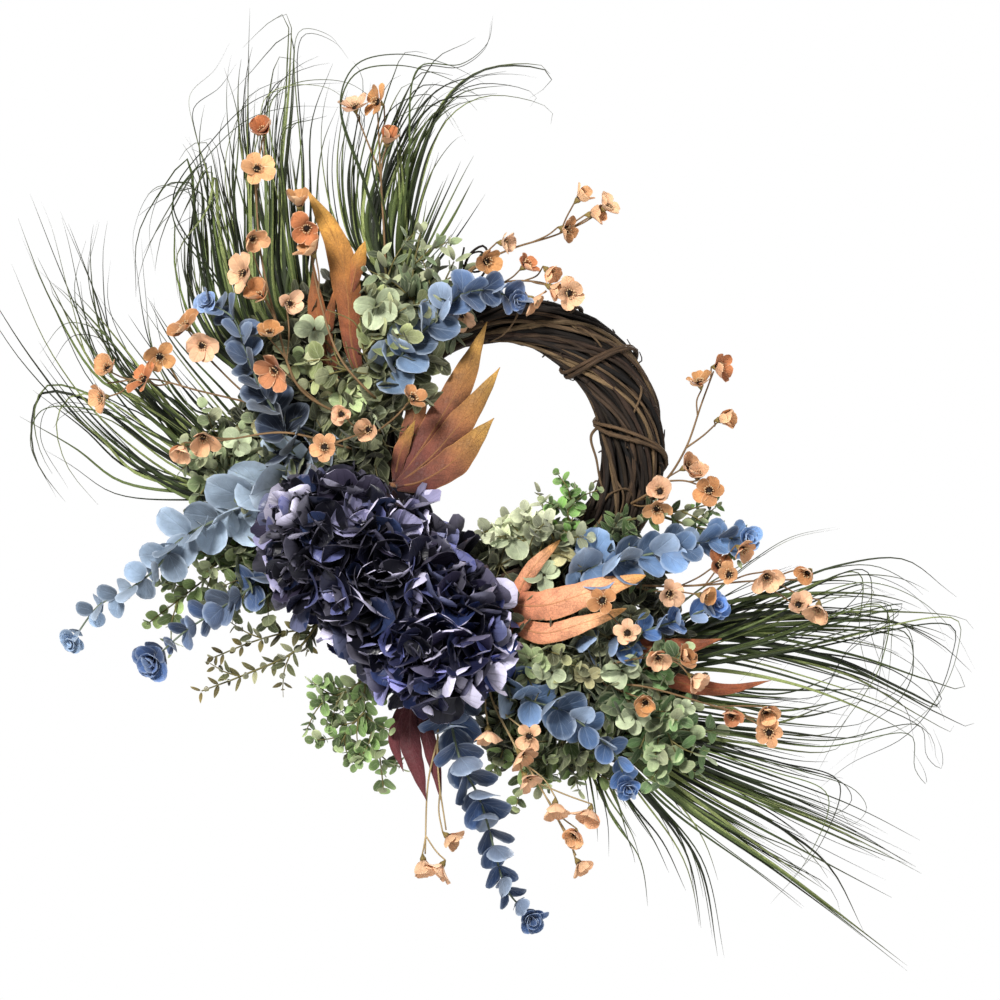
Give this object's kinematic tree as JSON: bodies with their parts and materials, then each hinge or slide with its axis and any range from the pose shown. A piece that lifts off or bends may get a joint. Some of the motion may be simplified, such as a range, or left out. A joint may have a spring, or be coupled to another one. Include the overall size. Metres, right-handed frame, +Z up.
{
  "type": "autumn wreath",
  "caption": "Twisted vine ring with hydrangea heads, lobed autumn leaves, eucalyptus, small-leaved sprays, blossoms and long grass massed on its left and lower side.",
  "frame": {"origin": "inner top of the vine ring, where the wreath rests on its hook", "axes": "+X right and +Z up as the wreath hangs, -Y toward the viewer; the wall is behind it on the +Y side"},
  "size_m": [0.9609, 0.1617, 0.9484],
  "materials": {
    "vine": "dry brown bark",
    "hydrangea": "matte petals, navy to black purple with pale edges",
    "autumn_leaf": "matte, ochre to rust red with darker veins",
    "burgundy_leaf": "matte, burgundy",
    "blue_leaf": "matte dusty blue with a pale bloom",
    "green_leaf": "matte sage green",
    "blossom": "matte peach orange with a dark middle",
    "grass": "dark green with a light sheen"
  },
  "bodies": {
    "root": {"vine_ring": "vine", "binding_vine_upper": "vine", "binding_vine_lower": "vine", "hydrangea_upper": "hydrangea", "hydrangea_lower": "hydrangea", "autumn_leaf_top": "autumn_leaf", "autumn_leaf_brown": "autumn_leaf", "autumn_leaf_inner": "autumn_leaf", "autumn_leaf_right": "autumn_leaf", "autumn_leaf_right_brown": "autumn_leaf", "autumn_leaf_bottom": "burgundy_leaf", "blue_spray_left": "blue_leaf", "blue_spray_lower_left": "blue_leaf", "blue_spray_upper_left": "blue_leaf", "blue_spray_top": "blue_leaf", "blue_spray_right_upper": "blue_leaf", "blue_spray_right_middle": "blue_leaf", "blue_spray_right_lower": "blue_leaf", "blue_spray_bottom": "blue_leaf", "green_spray_centre": "green_leaf", "green_spray_upper": "green_leaf", "green_spray_inner": "green_leaf", "green_sprig_inner": "green_leaf", "green_spray_left": "green_leaf", "green_spray_lower_left": "green_leaf", "green_spray_bottom_left": "green_leaf", "green_spray_behind_left": "green_leaf", "green_spray_right_front": "green_leaf", "green_spray_right_back": "green_leaf", "green_spray_ring_right": "green_leaf", "green_spray_bottom": "green_leaf", "blossom_spray_upper_left": "blossom", "blossom_spray_upper": "blossom", "blossom_spray_top": "blossom", "blossom_spray_left": "blossom", "blossom_spray_left_low": "blossom", "blossom_spray_centre": "blossom", "blossom_spray_right_top": "blossom", "blossom_spray_ring_top": "blossom", "blossom_spray_right": "blossom", "blossom_spray_right_middle": "blossom", "blossom_spray_right_front": "blossom", "blossom_spray_lower_right": "blossom", "blossom_spray_bottom": "blossom", "blossom_spray_hanging": "blossom", "grass_tuft_top_left": "grass", "grass_tuft_top": "grass", "grass_tuft_top_right": "grass", "grass_tuft_left": "grass", "grass_tuft_right": "grass", "grass_tuft_lower_right": "grass"}
  },
  "joints": []
}
